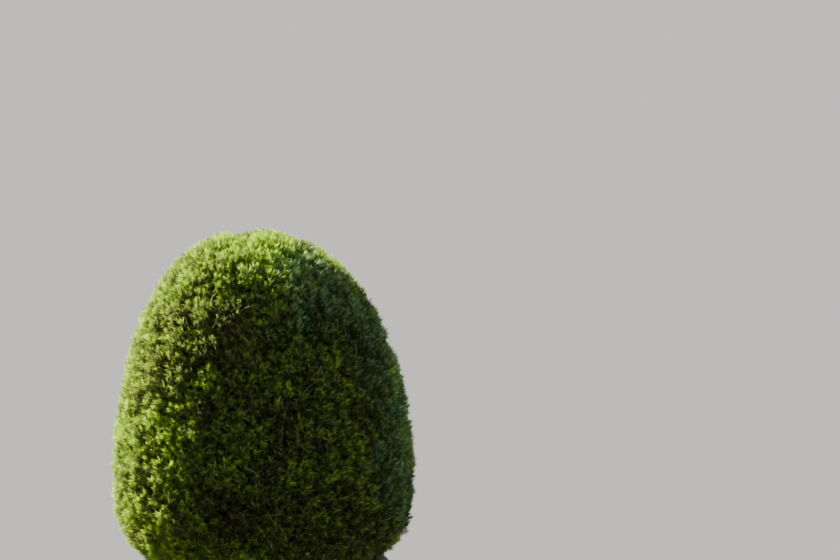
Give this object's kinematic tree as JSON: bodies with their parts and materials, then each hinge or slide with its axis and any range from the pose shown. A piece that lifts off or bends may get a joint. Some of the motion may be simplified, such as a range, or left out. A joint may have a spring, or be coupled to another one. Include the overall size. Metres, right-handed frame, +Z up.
{
  "type": "clipped dome topiary in planter",
  "caption": "Fine-leaved evergreen shrub clipped to a tall round-topped dome, standing in a round grey planter with a rolled rim.",
  "frame": {"origin": "middle of the planter's flat underside, which stands on the ground", "axes": "+Z up along the trunk; the plant is round in plan, and the picture looks along +Y"},
  "size_m": [0.591, 0.5858, 0.9662],
  "materials": {
    "planter": "satin grey",
    "soil": "dark crumbly compost",
    "bark": "rough brown bark",
    "foliage": "fine matt needles"
  },
  "bodies": {
    "root": {"pot": "planter", "soil": "soil", "trunk": "bark", "bough_low_1": "bark", "bough_low_2": "bark", "bough_low_3": "bark", "bough_low_4": "bark", "bough_low_5": "bark", "bough_low_6": "bark", "bough_middle_1": "bark", "bough_middle_2": "bark", "bough_middle_3": "bark", "bough_middle_4": "bark", "bough_middle_5": "bark", "bough_middle_6": "bark", "bough_middle_7": "bark", "bough_high_1": "bark", "bough_high_2": "bark", "bough_high_3": "bark", "bough_high_4": "bark", "bough_high_5": "bark", "mass_low_1": "foliage", "mass_low_2": "foliage", "mass_low_3": "foliage", "mass_low_4": "foliage", "mass_low_5": "foliage", "mass_low_6": "foliage", "mass_middle_1": "foliage", "mass_middle_2": "foliage", "mass_middle_3": "foliage", "mass_middle_4": "foliage", "mass_middle_5": "foliage", "mass_middle_6": "foliage", "mass_middle_7": "foliage", "mass_high_1": "foliage", "mass_high_2": "foliage", "mass_high_3": "foliage", "mass_high_4": "foliage", "mass_high_5": "foliage", "mass_cap": "foliage"}
  },
  "joints": []
}
